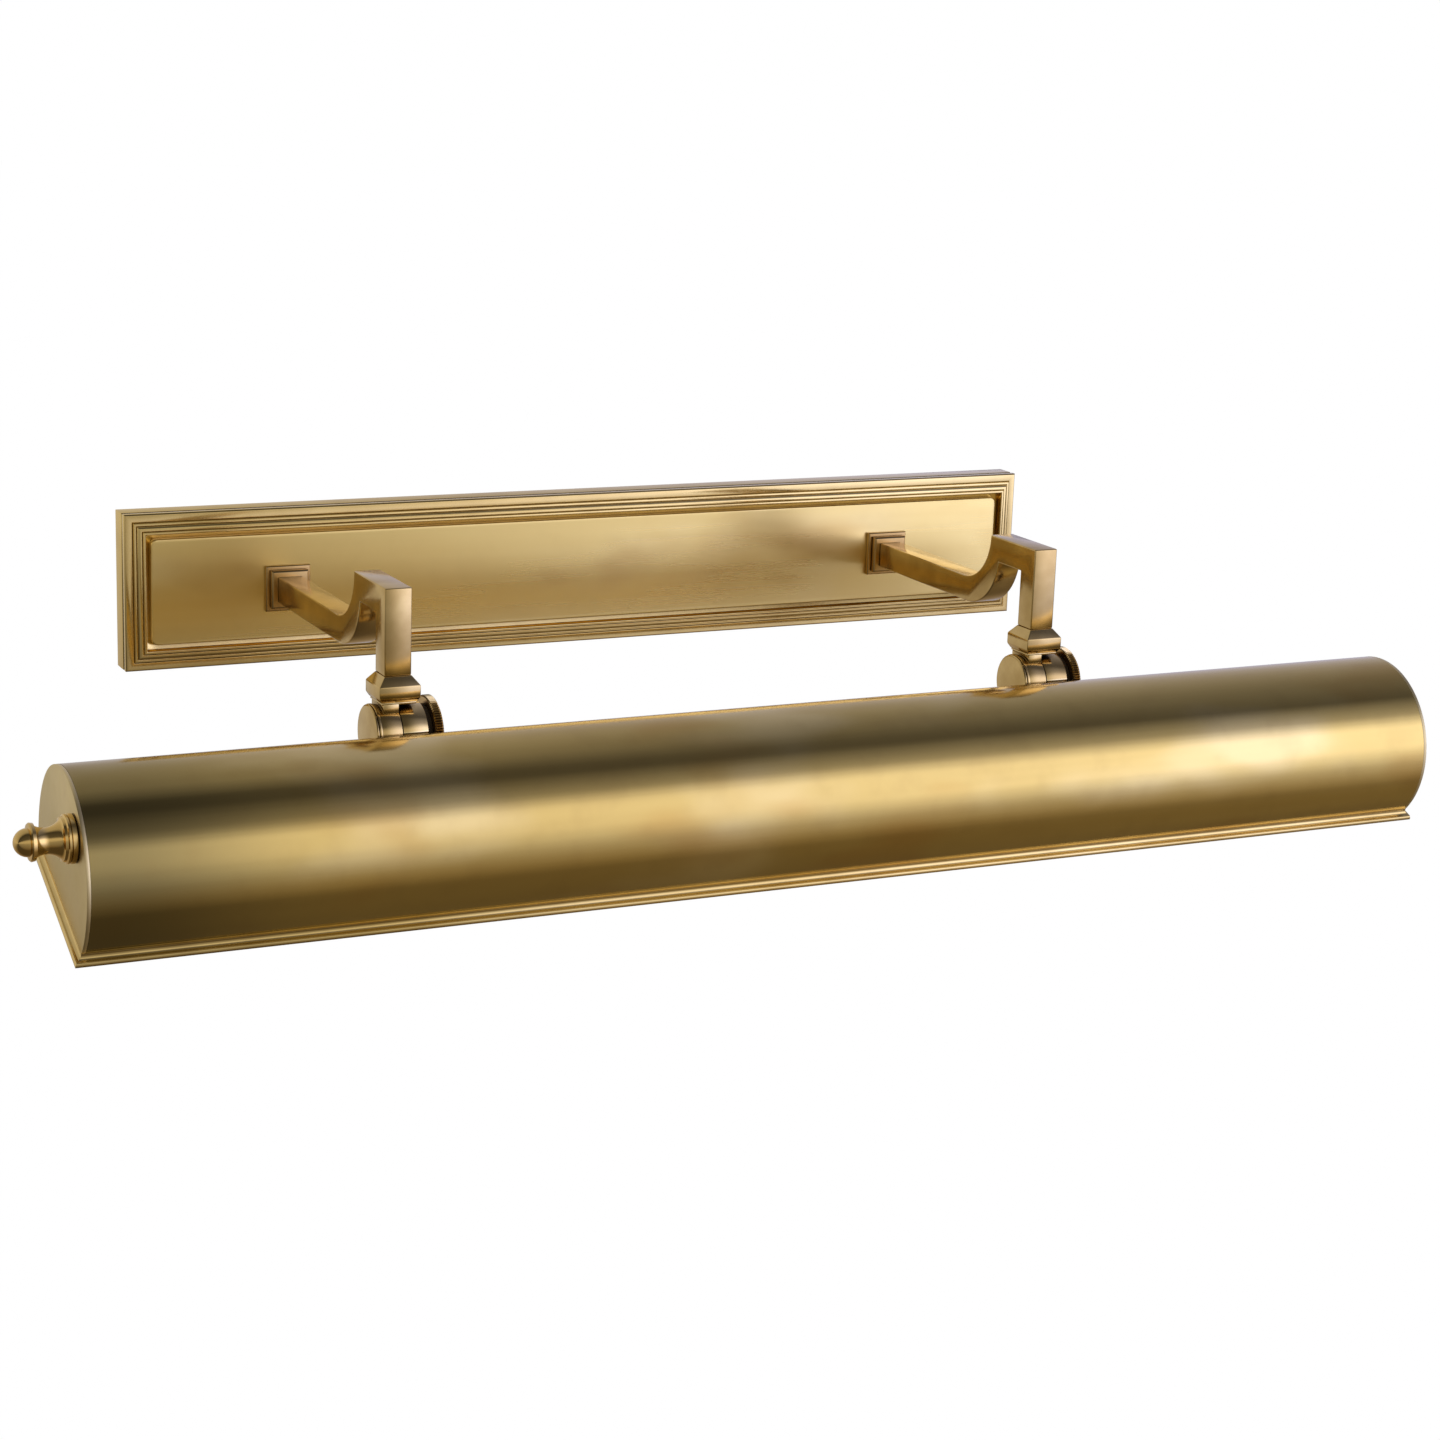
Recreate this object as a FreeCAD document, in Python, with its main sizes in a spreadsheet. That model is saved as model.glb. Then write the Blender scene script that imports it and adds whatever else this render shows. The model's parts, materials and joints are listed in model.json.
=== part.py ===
import FreeCAD, Part
import math
import os
import Sketcher

# A brass picture light: a long shade carried by two square arms in front of a moulded backplate.
# Frame: origin at the centre of the backplate's rear face, +Z up, +X along the backplate,
# and the light stands out from the wall towards -Y. Sizes are in millimetres.

doc = FreeCAD.newDocument("PictureLight")
sheet = doc.addObject("Spreadsheet::Sheet", "Sizes")
Vector = FreeCAD.Vector
Rotation = FreeCAD.Rotation
X_AXIS = Vector(1, 0, 0)
Y_AXIS = Vector(0, 1, 0)
Z_AXIS = Vector(0, 0, 1)
SIDES = {"left": -1, "right": 1}


class Size:
    """A length that knows its value and the spreadsheet expression it comes from."""

    def __init__(self, value, text):
        self.value = float(value)
        self.text = text

    def __add__(self, other):
        other = as_size(other)
        return Size(self.value + other.value, f"({self.text} + {other.text})")

    def __sub__(self, other):
        other = as_size(other)
        return Size(self.value - other.value, f"({self.text} - {other.text})")

    def __mul__(self, other):
        other = as_size(other)
        return Size(self.value * other.value, f"({self.text} * {other.text})")

    def __truediv__(self, other):
        other = as_size(other)
        return Size(self.value / other.value, f"({self.text} / {other.text})")

    def __radd__(self, other):
        return as_size(other) + self

    def __rsub__(self, other):
        return as_size(other) - self

    def __rmul__(self, other):
        return as_size(other) * self

    def __neg__(self):
        return Size(-self.value, f"(0 - {self.text})")


def as_size(value):
    return value if isinstance(value, Size) else Size(value, repr(float(value)))


def root(size):
    return Size(math.sqrt(size.value), f"sqrt({size.text})")


def cosine(angle):
    return Size(math.cos(math.radians(angle.value)), f"cos({angle.text} * 1 deg)")


def sine(angle):
    return Size(math.sin(math.radians(angle.value)), f"sin({angle.text} * 1 deg)")


def chord_half(radius, height):
    """Half the chord that cuts a circle at this distance from its centre."""
    return root(radius * radius - height * height)


def fill_sheet(table):
    """Writes the driving sizes into the sheet and returns them by name."""
    sizes = {}
    for row, (alias, value) in enumerate(table.items(), start=1):
        sheet.set(f"A{row}", alias)
        sheet.set(f"B{row}", str(value))
        sheet.setAlias(f"B{row}", alias)
        sizes[alias] = Size(value, f"Sizes.{alias}")
    doc.recompute()
    return sizes


D = fill_sheet({
    # backplate
    "plate_length": 450, "plate_height": 70, "shell_wall": 1.6, "web_back": 10.8, "web_front": 12.4,
    "band_front": 14.4, "ridge_front": 17.0, "moulding_width": 9.1,
    "panel_margin": 11.3, "panel_front": 15.4, "panel_corner": 3.0,
    # wall bracket, its screw holes and the cable entry
    "bracket_length": 380, "bracket_gauge": 2.0, "bracket_flange": 8.5, "bracket_gap": 0.4,
    "wall_screw_spacing": 250, "wall_screw_radius": 2.75,
    "box_screw_spacing": 89, "box_slot_radius": 2.4, "box_slot_length": 18,
    "cable_entry_radius": 11, "cable_entry_drop": 17,
    "lock_screw_spacing": 260, "lock_screw_radius": 1.5,
    # arms
    "arm_spacing": 304, "arm_level": -0.8, "bar_width": 11.5, "bridge_top": 27.85, "leg_front": 162.75,
    "leg_end": -8.4, "inner_bend": 22.9, "outer_bend": 27.05, "rise_back": 124.2, "bar_edge": 0.6,
    "wire_bore": 2.25, "rosette": 20.6, "rosette_depth": 5.6,
    "nipple_radius": 4.2, "nipple_bore": 2.6,
    # collar and tilting knuckle
    "collar": 17.6, "collar_foot": 15.2, "collar_end": -19.0, "neck_plate": 0.9, "spigot_radius": 3.6,
    "axis_out": 157.0, "axis_level": -33.9, "barrel_radius": 12.8, "barrel_left": -8.6,
    "parting": 0.3, "barrel_right": 11.0, "cap_radius": 13.2, "cap_face": -10.9,
    "bolt_radius": 3.9, "bolt_clearance": 0.05, "washer_radius": 11.6, "washer_left": 11.15,
    "washer_right": 13.2, "nut_radius": 15.1, "nut_left": 13.35, "nut_right": 17.0,
    # shade
    "shade_length": 609.6, "shade_radius": 38.1, "shade_gauge": 1.0, "shade_offset": 5.65,
    "shade_reach": 54.0, "shade_bearing": 31.0, "shade_tilt": 22.3, "chord_depth": 14.2,
    "end_gauge": 1.6, "rim_height": 4.5, "rim_overhang": 2.4, "rim_bead": 0.6, "rim_ledge": 1.2,
    "foot_half": 10.5, "foot_screw_lean": 10.5, "foot_screw_radius": 1.5, "foot_screw_head": 2.7,
    # reflector, lamps and holders
    "reflector_radius": 33.5, "reflector_gauge": 0.6, "reflector_length": 520, "reflector_edge": 4.0,
    "holder_mouth": 212, "holder_length": 34, "holder_radius": 14.5, "lamp_level": 4.0,
    "lamp_radius": 12.7, "lamp_glass": 0.8,
    "lamp_length": 138, "cap_length": 20, "lamp_cap_radius": 8.0, "bracket_half": 9.0,
    "bracket_sheet": 1.5, "bracket_flat": 20, "stud_radius": 1.5, "stud_nut": 3.2,
    # rotary switch and its turned knob
    "switch_back": 12.4, "switch_up": 22.5, "switch_radius": 8.5, "switch_depth": 17,
    "bushing_radius": 4.5, "spindle_radius": 2.6, "spindle_clearance": 0.06,
    "knob_base": 9.4, "knob_neck": 4.1, "knob_ring": 7.3, "knob_dome": 5.4, "knob_gap": 0.3,
})


def new_body(label):
    body = doc.addObject("PartDesign::Body", label)
    body.Label = label
    return body


def new_sketch(body, role, name, offset=None):
    """A sketch on one of the body's own planes, moved along that plane's normal."""
    sketch = body.newObject("Sketcher::SketchObject", name)
    for feature in body.Origin.OriginFeatures:
        if feature.Role == role:
            sketch.AttachmentSupport = [(feature, "")]
    sketch.MapMode = "FlatFace"
    if offset is not None:
        sketch.setExpression("AttachmentOffset.Base.z", as_size(offset).text)
    return sketch


def bind(sketch, kind, where, size):
    """Adds one dimension to a sketch and ties it to the sheet."""
    size = as_size(size)
    index = sketch.addConstraint(Sketcher.Constraint(kind, *where, size.value))
    if "Sizes." in size.text:
        sketch.setExpression(f"Constraints[{index}]", size.text)


def chain(sketch, points, arcs=None, closed=True):
    """Draws edges from point to point. arcs maps an edge's number to its centre and turning sense."""
    arcs = arcs or {}
    count = len(points)
    edges = count if closed else count - 1
    first = sketch.GeometryCount
    values = [(as_size(x).value, as_size(y).value) for x, y in points]
    for number in range(edges):
        start = values[number]
        end = values[(number + 1) % count]
        if number in arcs:
            (centre_x, centre_y), sense = arcs[number]
            centre = Vector(as_size(centre_x).value, as_size(centre_y).value, 0)
            ring = Part.Circle(centre, Z_AXIS, math.hypot(start[0] - centre.x, start[1] - centre.y))
            angles = [math.atan2(y - centre.y, x - centre.x) for x, y in (start, end)]
            if sense < 0:
                angles.reverse()
            sketch.addGeometry(Part.ArcOfCircle(ring, *angles), False)
        else:
            sketch.addGeometry(Part.LineSegment(Vector(*start, 0), Vector(*end, 0)), False)

    def end_of(number, last):
        backwards = number in arcs and arcs[number][1] < 0
        return 2 if last != backwards else 1

    for number in range(count if closed else edges - 1):
        following = (number + 1) % count
        sketch.addConstraint(Sketcher.Constraint(
            "Coincident", first + number, end_of(number, True), first + following, end_of(following, False)))
    for number, (x, y) in enumerate(points):
        edge = min(number, edges - 1)
        where = (-1, 1, first + edge, end_of(edge, number > edge))
        bind(sketch, "DistanceX", where, x)
        bind(sketch, "DistanceY", where, y)
    for number, ((centre_x, centre_y), _) in arcs.items():
        start = values[number]
        end = values[(number + 1) % count]
        level = abs(end[0] - start[0]) > abs(end[1] - start[1])
        where = (-1, 1, first + number, 3)
        bind(sketch, "DistanceY" if level else "DistanceX", where, centre_y if level else centre_x)


def circle(sketch, radius, x=0, y=0):
    radius = as_size(radius)
    centre = Vector(as_size(x).value, as_size(y).value, 0)
    number = sketch.addGeometry(Part.Circle(centre, Z_AXIS, radius.value), False)
    bind(sketch, "Radius", (number,), radius)
    bind(sketch, "DistanceX", (-1, 1, number, 3), x)
    bind(sketch, "DistanceY", (-1, 1, number, 3), y)


def rectangle(sketch, half_width, half_height, x=0, y=0):
    chain(sketch, [
        (x - half_width, y - half_height), (x + half_width, y - half_height),
        (x + half_width, y + half_height), (x - half_width, y + half_height)])


def hexagon(corner):
    corner = as_size(corner)
    points = []
    for step in range(6):
        angle = math.radians(60 * step)
        points.append((corner * math.cos(angle), corner * math.sin(angle)))
    return points


def rounded_rectangle(sketch, half_width, half_height, radius):
    """A rectangle about the sketch's origin with quarter-circle corners."""
    inner_width = half_width - radius
    inner_height = half_height - radius
    points = []
    arcs = {}
    for x_sign, y_sign in ((1, -1), (1, 1), (-1, 1), (-1, -1)):
        along = (x_sign * inner_width, y_sign * half_height)
        across = (x_sign * half_width, y_sign * inner_height)
        arcs[len(points)] = ((x_sign * inner_width, y_sign * inner_height), 1)
        points += [along, across] if x_sign * y_sign < 0 else [across, along]
    chain(sketch, points, arcs)


def pad(body, sketch, length, midplane=False, backwards=False):
    feature = body.newObject("PartDesign::Pad", f"{sketch.Name}_pad")
    feature.Profile = sketch
    feature.Midplane = midplane
    feature.Reversed = backwards
    feature.setExpression("Length", as_size(length).text)
    return feature


def pocket(body, sketch, length, midplane=False, backwards=False):
    """Cuts a sketch into the body, and makes sure that it took metal away."""
    doc.recompute()
    before = body.Shape.Volume
    feature = body.newObject("PartDesign::Pocket", f"{sketch.Name}_cut")
    feature.Profile = sketch
    feature.Midplane = midplane
    feature.Reversed = backwards
    feature.setExpression("Length", as_size(length).text)
    doc.recompute()
    if body.Shape.Volume >= before:
        raise RuntimeError(f"{feature.Name} cuts nothing from {body.Label}")
    return feature


def soften(body, kind, edges, size):
    """Rounds or chamfers the named edges of the body's last feature."""
    doc.recompute()
    tip = body.Tip
    feature = body.newObject(f"PartDesign::{kind}", f"{body.Label}_{kind.lower()}")
    feature.Base = (tip, edges)
    feature.setExpression("Radius" if kind == "Fillet" else "Size", as_size(size).text)
    return feature


def edges_where(body, test):
    """Names of the edges of the body's shape that pass a test on their middle point and length."""
    doc.recompute()
    names = []
    for number, edge in enumerate(body.Shape.Edges, start=1):
        middle = edge.valueAt((edge.FirstParameter + edge.LastParameter) / 2)
        if test(middle, edge):
            names.append(f"Edge{number}")
    return names


def turned(label, points, arcs=None):
    """A solid of revolution about its own X axis, from an outline of (along, radius) points."""
    body = new_body(label)
    sketch = new_sketch(body, "XY_Plane", f"{label}_outline")
    chain(sketch, points, arcs)
    feature = body.newObject("PartDesign::Revolution", f"{label}_turned")
    feature.Profile = sketch
    feature.ReferenceAxis = (sketch, ["H_Axis"])
    feature.Angle = 360
    return body


def place(item, x=0, y=0, z=0, tilt=None):
    """Moves a sub-part, its position bound to the sheet, and tilts it about X."""
    if tilt is not None:
        item.Placement = FreeCAD.Placement(Vector(), Rotation(X_AXIS, tilt.value))
        item.setExpression("Placement.Rotation.Angle", f"{tilt.text} * 1 deg")
    for axis, size in (("x", x), ("y", y), ("z", z)):
        item.setExpression(f"Placement.Base.{axis}", as_size(size).text)
    return item


ARM_X = D["arm_spacing"] / 2
AXIS_Y = -D["axis_out"]
AXIS_Z = D["axis_level"]
SHADE_Y = AXIS_Y - D["shade_reach"] * cosine(D["shade_bearing"])
SHADE_Z = AXIS_Z - D["shade_reach"] * sine(D["shade_bearing"])
SHADE_HALF = D["shade_length"] / 2
# where the knuckle's axis lies in the shade's own tilted frame
FOOT_BEARING = D["shade_bearing"] - D["shade_tilt"]


FOOT_SCREW_TIP = D["shade_radius"] + 4.5


def turn_plane(sketch, bearing):
    """Turns an XY sketch about X until its normal lies at this bearing above +Y."""
    angle = 90 - as_size(bearing)
    sketch.AttachmentOffset = FreeCAD.Placement(Vector(), Rotation(-X_AXIS, angle.value))
    sketch.setExpression("AttachmentOffset.Rotation.Angle", f"{angle.text} * 1 deg")


def place_in_shade(item):
    return place(item, D["shade_offset"], SHADE_Y, SHADE_Z, D["shade_tilt"])


def place_on_axis(item, sign):
    return place(item, sign * ARM_X, AXIS_Y, AXIS_Z)


# ---------------------------------------------------------------- backplate and wall bracket

def backplate():
    """A shallow box, open to the wall, with a mitred moulding round its front."""
    body = new_body("backplate")
    spine = new_sketch(body, "XZ_Plane", "backplate_edge")
    rectangle(spine, D["plate_length"] / 2, D["plate_height"] / 2)
    profile = new_sketch(body, "YZ_Plane", "backplate_profile")
    band = D["band_front"]
    ridge = D["ridge_front"]
    wall = D["shell_wall"]
    width = D["moulding_width"]
    back = D["web_back"]
    # (in from the edge, out from the wall)
    steps = [
        (0, 0), (0, band - 5.0), (0.6, band - 4.4), (0.6, band - 3.6), (0, band - 3.0),
        (0, band - 0.6), (0.6, band), (3.5, band), (3.8, band - 0.5), (4.1, band + 0.8),
        (5.1, band + 0.8), (5.4, band + 0.4), (6.9, ridge - 0.6), (7.4, ridge - 0.6),
        (7.6, ridge - 1.1), (7.9, ridge), (8.8, ridge), (width, ridge - 0.3),
        (width, back), (wall + 0.6, back), (wall, back - 1.8), (wall, 0)]
    points = [(-as_size(out), D["plate_height"] / 2 - inward) for inward, out in steps]
    # the quarter-round bead between the flat band and the ridge
    bead_centre = (-(band + 0.4), D["plate_height"] / 2 - 7.0)
    chain(profile, points, {11: (bead_centre, 1)})
    frame = body.newObject("PartDesign::AdditivePipe", "backplate_moulding")
    frame.Profile = profile
    frame.Spine = (spine, [f"Edge{number}" for number in range(1, 5)])
    frame.Transition = "Right corner"
    web = new_sketch(body, "XZ_Plane", "backplate_web", back)
    rectangle(web, D["plate_length"] / 2 - width + 0.5, D["plate_height"] / 2 - width + 0.5)
    pad(body, web, D["web_front"] - back)
    holes = new_sketch(body, "XZ_Plane", "backplate_holes")
    for sign in SIDES.values():
        circle(holes, D["nipple_radius"], sign * ARM_X, D["arm_level"])
    pocket(body, holes, D["ridge_front"] * 2, midplane=True)
    screws = new_sketch(body, "XY_Plane", "backplate_screw_holes", -D["plate_height"] / 2)
    for sign in SIDES.values():
        circle(screws, D["lock_screw_radius"], sign * D["lock_screw_spacing"] / 2, -D["bracket_flange"] / 2)
    pocket(body, screws, D["shell_wall"] * 3, midplane=True)
    return body


def face_panel():
    """The flat panel inside the moulding, with rounded corners and a softened front edge."""
    body = new_body("face_panel")
    plate = new_sketch(body, "XZ_Plane", "face_panel_outline", D["web_front"])
    margin = D["panel_margin"]
    rounded_rectangle(plate, D["plate_length"] / 2 - margin, D["plate_height"] / 2 - margin,
                      D["panel_corner"])
    pad(body, plate, D["panel_front"] - D["web_front"])
    front = -D["panel_front"].value
    soften(body, "Fillet", edges_where(body, lambda middle, edge: abs(middle.y - front) < 0.01), 0.7)
    holes = new_sketch(body, "XZ_Plane", "face_panel_holes")
    for sign in SIDES.values():
        circle(holes, D["nipple_radius"], sign * ARM_X, D["arm_level"])
    pocket(body, holes, D["panel_front"] * 3, midplane=True)
    return body


def wall_bracket():
    """A channel screwed to the wall, which the backplate slides over."""
    body = new_body("wall_bracket")
    gauge = D["bracket_gauge"]
    half = D["plate_height"] / 2 - D["shell_wall"] - D["bracket_gap"]
    section = new_sketch(body, "YZ_Plane", "wall_bracket_section")
    flange = D["bracket_flange"]
    chain(section, [
        (0, half), (-flange, half), (-flange, half - gauge), (-gauge, half - gauge),
        (-gauge, gauge - half), (-flange, gauge - half), (-flange, -half), (0, -half)])
    pad(body, section, D["bracket_length"], midplane=True)
    holes = new_sketch(body, "XZ_Plane", "wall_bracket_holes")
    circle(holes, D["cable_entry_radius"], 0, -D["cable_entry_drop"])
    for sign in SIDES.values():
        circle(holes, D["wall_screw_radius"], sign * D["wall_screw_spacing"] / 2)
    pocket(body, holes, gauge * 3, midplane=True)
    slots = new_sketch(body, "XZ_Plane", "wall_bracket_slots")
    radius = D["box_slot_radius"]
    reach = D["box_slot_length"] / 2 - radius
    for sign in SIDES.values():
        centre = sign * D["box_screw_spacing"] / 2
        chain(slots, [(centre - reach, -radius), (centre + reach, -radius),
                        (centre + reach, radius), (centre - reach, radius)],
                {1: ((centre + reach, 0), 1), 3: ((centre - reach, 0), 1)})
    pocket(body, slots, gauge * 3, midplane=True)
    threads = new_sketch(body, "XY_Plane", "wall_bracket_threads", -half)
    for sign in SIDES.values():
        circle(threads, D["lock_screw_radius"], sign * D["lock_screw_spacing"] / 2, -flange / 2)
    pocket(body, threads, gauge * 3, midplane=True)
    return body


def lock_screws():
    """Two grub screws up through the lower edge that hold the backplate on its bracket."""
    body = new_body("lock_screws")
    sketch = new_sketch(body, "XY_Plane", "lock_screw_shanks", -D["plate_height"] / 2)
    for sign in SIDES.values():
        circle(sketch, D["lock_screw_radius"], sign * D["lock_screw_spacing"] / 2, -D["bracket_flange"] / 2)
    pad(body, sketch, 7)
    return body


def terminal_block():
    """A three-way connector block beside the cable entry, with its wire ways and screw wells."""
    body = new_body("terminal_block")
    block = new_sketch(body, "XZ_Plane", "terminal_block_outline", D["bracket_gauge"])
    rectangle(block, 11, 9, 28, 17)
    pad(body, block, 7)
    wells = new_sketch(body, "XZ_Plane", "terminal_block_wells", D["bracket_gauge"] + 7)
    for column in (-7, 0, 7):
        circle(wells, 1.6, 28 + column, 21)
        circle(wells, 1.6, 28 + column, 13)
    pocket(body, wells, 4)
    return body


def earth_stud():
    """A brass screw with a plate washer on the bracket for the protective earth."""
    body = turned("earth_stud", [
        (0, 0), (0, 4.5), (0.8, 4.5), (0.8, 3.4), (3.2, 3.4), (3.2, 2.0), (6.5, 2.0), (6.5, 0)])
    body.Placement = FreeCAD.Placement(Vector(), Rotation(Z_AXIS, -90))
    return place(body, -25, -D["bracket_gauge"], 16)


# ---------------------------------------------------------------- arms

def nipple(side, sign):
    """A threaded tube that clamps the arm, its rosette and the backplate together."""
    body = turned(f"arm_nipple_{side}", [
        (3.0, D["nipple_bore"]), (3.0, D["nipple_radius"]), (28, D["nipple_radius"]), (28, D["nipple_bore"])])
    body.Placement = FreeCAD.Placement(Vector(), Rotation(Z_AXIS, -90))
    return place(body, sign * ARM_X, 0, D["arm_level"])


def nipple_nut(side, sign):
    """A hexagon nut on the nipple, behind the backplate's web."""
    body = new_body(f"arm_nut_{side}")
    sketch = new_sketch(body, "XZ_Plane", f"arm_nut_{side}_hexagon")
    chain(sketch, hexagon(D["nipple_radius"] + 4.5))
    circle(sketch, D["nipple_radius"])
    pad(body, sketch, 4)
    return place(body, sign * ARM_X, 5.3 - D["web_back"], D["arm_level"])


def nipple_washers():
    """Two plain washers between the nuts and the web."""
    body = new_body("arm_nut_washers")
    thickness = 1.3
    sketch = new_sketch(body, "XZ_Plane", "arm_nut_washers_rings", D["web_back"] - thickness)
    for sign in SIDES.values():
        circle(sketch, D["nipple_radius"] + 5.5, sign * ARM_X, D["arm_level"])
        circle(sketch, D["nipple_radius"], sign * ARM_X, D["arm_level"])
    pad(body, sketch, thickness)
    return body


def rosette(side, sign):
    """A square rosette in two moulded steps where the arm leaves the panel."""
    body = new_body(f"rosette_{side}")
    half = D["rosette"] / 2
    layers = [("base", 0, 2.4, half), ("groove", 2.4, 0.6, half - 2.3), ("front", 3.0, 2.6, half - 1.6)]
    for name, start, depth, half_width in layers:
        sketch = new_sketch(body, "XZ_Plane", f"rosette_{side}_{name}", start)
        rectangle(sketch, half_width, half_width)
        pad(body, sketch, depth)
    front = -D["rosette_depth"].value
    rims = edges_where(body, lambda middle, edge: min(abs(middle.y - front), abs(middle.y + 2.4)) < 0.01
                       and max(abs(middle.x), abs(middle.z)) > half.value - 1.7)
    soften(body, "Chamfer", rims, 0.55)
    hole = new_sketch(body, "XZ_Plane", f"rosette_{side}_hole")
    circle(hole, D["nipple_radius"])
    pocket(body, hole, 40, midplane=True)
    return place(body, sign * ARM_X, -D["panel_front"], D["arm_level"])


def arm(side, sign):
    """A square bar: level, then a quarter bend up, over a bridge and down a straight leg."""
    body = new_body(f"arm_{side}")
    half = D["bar_width"] / 2
    face = -D["panel_front"] - D["rosette_depth"]
    top = D["arm_level"] + half
    low = D["arm_level"] - half
    rise = -D["rise_back"]
    front = -D["leg_front"]
    under = D["bridge_top"] - D["bar_width"]
    bend_y = rise + D["inner_bend"]
    bend_z = top + D["inner_bend"]
    sweep_y = bend_y - 4.2
    sweep_z = low + D["outer_bend"]
    inner_corner = sweep_y - chord_half(D["outer_bend"], sweep_z - under)
    section = new_sketch(body, "YZ_Plane", f"arm_{side}_side")
    chain(section, [
        (face, top), (bend_y, top), (rise, bend_z), (front, bend_z), (front, D["leg_end"]),
        (front + D["bar_width"], D["leg_end"]), (front + D["bar_width"], under), (inner_corner, under),
        (sweep_y, low), (face, low)],
        {1: ((bend_y, bend_z), -1), 7: ((sweep_y, sweep_z), 1)})
    pad(body, section, D["bar_width"], midplane=True)
    side_face = half.value
    long_edges = edges_where(body, lambda middle, edge: abs(abs(middle.x) - side_face) < 0.01
                             and middle.y < face.value - 0.5 and middle.z > D["leg_end"].value + 0.5)
    soften(body, "Chamfer", long_edges, D["bar_edge"])
    wire_way(body, side, face)
    socket = new_sketch(body, "XZ_Plane", f"arm_{side}_socket", -face)
    circle(socket, D["nipple_radius"], 0, D["arm_level"])
    pocket(body, socket, 7.5, backwards=True)
    return place(body, sign * ARM_X)


def wire_way(body, side, face):
    """The bore that carries the leads from the rosette, through the bends, to the leg's end."""
    level = D["arm_level"]
    corner = 4.0
    leg = D["bar_width"] / 2 - D["leg_front"]
    bridge = D["bridge_top"] - D["bar_width"] / 2
    turn = bridge - corner
    bend = turn - level
    rise = leg + 28.8
    path = new_sketch(body, "YZ_Plane", f"arm_{side}_wire_path")
    stops = [(face + 2, level), (rise + bend, level), (rise, turn), (rise - corner, bridge),
             (leg + corner, bridge), (leg, turn), (leg, D["leg_end"] - 2)]
    turns = {1: ((rise + bend, turn), -1), 2: ((rise - corner, turn), 1), 4: ((leg + corner, turn), 1)}
    chain(path, stops, turns, closed=False)
    mouth = new_sketch(body, "XZ_Plane", f"arm_{side}_wire_mouth", -(face + 2))
    circle(mouth, D["wire_bore"], 0, level)
    doc.recompute()
    before = body.Shape.Volume
    bore = body.newObject("PartDesign::SubtractivePipe", f"arm_{side}_wire_bore")
    bore.Profile = mouth
    bore.Spine = (path, [f"Edge{number}" for number in range(1, len(stops))])
    doc.recompute()
    if body.Shape.Volume >= before:
        raise RuntimeError(f"{bore.Name} cuts nothing")


# ---------------------------------------------------------------- collar and knuckle

def collar(side, sign):
    """A square collar that flares out below the leg and draws in again above the knuckle."""
    body = new_body(f"collar_{side}")
    top = D["leg_end"]
    low = D["collar_end"]
    levels = [(low, D["collar_foot"]), (low + 2.0, D["collar"]), (top - 3.8, D["collar"]), (top, D["bar_width"])]
    sketches = []
    for number, (level, width) in enumerate(levels):
        sketch = new_sketch(body, "XY_Plane", f"collar_{side}_section_{number}", level)
        rectangle(sketch, width / 2, width / 2)
        sketches.append(sketch)
    loft = body.newObject("PartDesign::AdditiveLoft", f"collar_{side}_loft")
    loft.Profile = sketches[0]
    loft.Sections = sketches[1:]
    loft.Ruled = True
    bore = new_sketch(body, "XY_Plane", f"collar_{side}_bore", low)
    circle(bore, D["spigot_radius"])
    pocket(body, bore, (top - low) * 2, midplane=True)
    return place(body, sign * ARM_X, AXIS_Y)


def knuckle_fixed(side, sign):
    """The arm's half of the knuckle: half a barrel, a neck plate and a spigot up into the collar."""
    body = new_body(f"knuckle_fixed_{side}")
    radius = D["barrel_radius"]
    left = D["barrel_left"]
    barrel = new_sketch(body, "YZ_Plane", f"knuckle_fixed_{side}_barrel", left)
    circle(barrel, radius)
    pad(body, barrel, -left)
    top = D["collar_end"] - AXIS_Z
    plate = new_sketch(body, "XY_Plane", f"knuckle_fixed_{side}_plate", top - D["neck_plate"])
    rectangle(plate, D["collar_foot"] / 2 - 0.3, D["collar_foot"] / 2 - 0.3)
    pad(body, plate, D["neck_plate"])
    neck = new_sketch(body, "XY_Plane", f"knuckle_fixed_{side}_neck", radius - 5)
    half = D["collar_foot"] / 2 - 0.3
    chain(neck, [(0.6 - half, -half), (0, -half), (0, half), (0.6 - half, half)])
    pad(body, neck, top - radius + 5 - D["neck_plate"] / 2)
    spigot = new_sketch(body, "XY_Plane", f"knuckle_fixed_{side}_spigot", top)
    circle(spigot, D["spigot_radius"])
    pad(body, spigot, 7)
    bore = new_sketch(body, "YZ_Plane", f"knuckle_fixed_{side}_bore")
    circle(bore, D["bolt_radius"])
    pocket(body, bore, 40, midplane=True)
    wire = new_sketch(body, "XY_Plane", f"knuckle_fixed_{side}_wire", top + 8)
    circle(wire, D["wire_bore"])
    pocket(body, wire, 8 + D["neck_plate"] * 3)
    return place_on_axis(body, sign)


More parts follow.
